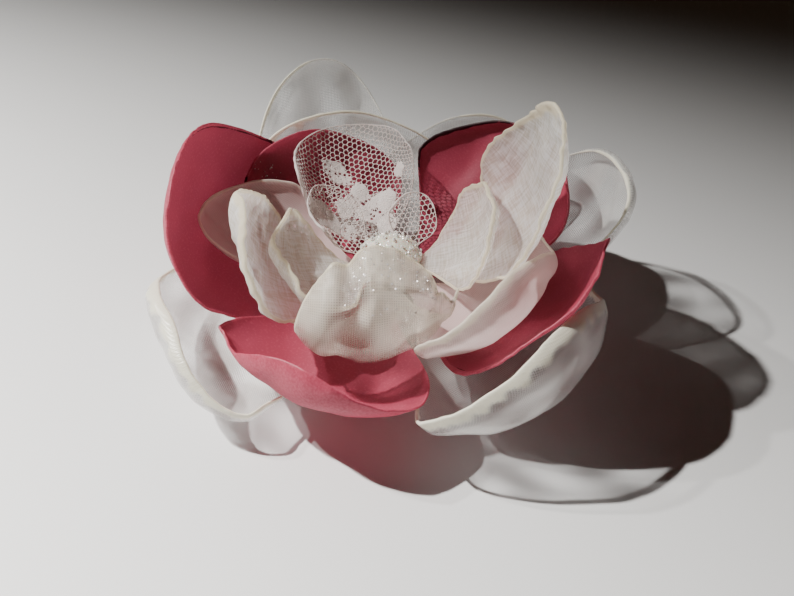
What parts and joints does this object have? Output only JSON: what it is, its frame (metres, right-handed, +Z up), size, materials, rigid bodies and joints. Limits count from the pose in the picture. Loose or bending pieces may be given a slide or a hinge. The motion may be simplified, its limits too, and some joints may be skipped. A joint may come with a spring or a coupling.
{
  "type": "flower lapel pin",
  "caption": "Layered cloth flower brooch with sheer, satin, lace and crepe petals round a beaded core, on a felt disc with a bar pin, lying on its back.",
  "frame": {"origin": "middle of the flower's box in plan, on the surface that the flower lies on", "axes": "+Z up out of the flower's face, -Y towards the front petals, +X to the right seen from the front, along the bar pin's needle"},
  "size_m": [0.1014, 0.1086, 0.0556],
  "materials": {
    "organza": "sheer white organza with melted ivory rims",
    "satin": "crimson satin with burnt rims and fine sparkle",
    "chiffon": "pale pink sheer chiffon with melted ivory rims",
    "lace": "white hexagonal net with an embroidered motif",
    "crepe": "ivory crinkled crepe with a fine open weave",
    "glue_and_beads": "clear and white glass seed beads set in hot glue",
    "felt": "off-white craft felt",
    "pin_steel": "nickel-plated steel"
  },
  "bodies": {
    "root": {"organza_front_left": "organza", "organza_front_right": "organza", "organza_right": "organza", "organza_back": "organza", "organza_back_left": "organza", "organza_inner_back": "organza", "satin_left": "satin", "satin_front": "satin", "satin_right": "satin", "satin_back_right": "satin", "satin_back_left": "satin", "chiffon_left": "chiffon", "chiffon_front_right": "chiffon", "lace_back": "lace", "lace_right": "lace", "lace_left": "lace", "crepe_hood": "crepe", "crepe_left": "crepe", "crepe_front_left": "crepe", "crepe_tall_right": "crepe", "crepe_back_right": "crepe", "bead_core": "glue_and_beads", "felt_backing": "felt", "bar_pin": "pin_steel"}
  },
  "joints": []
}
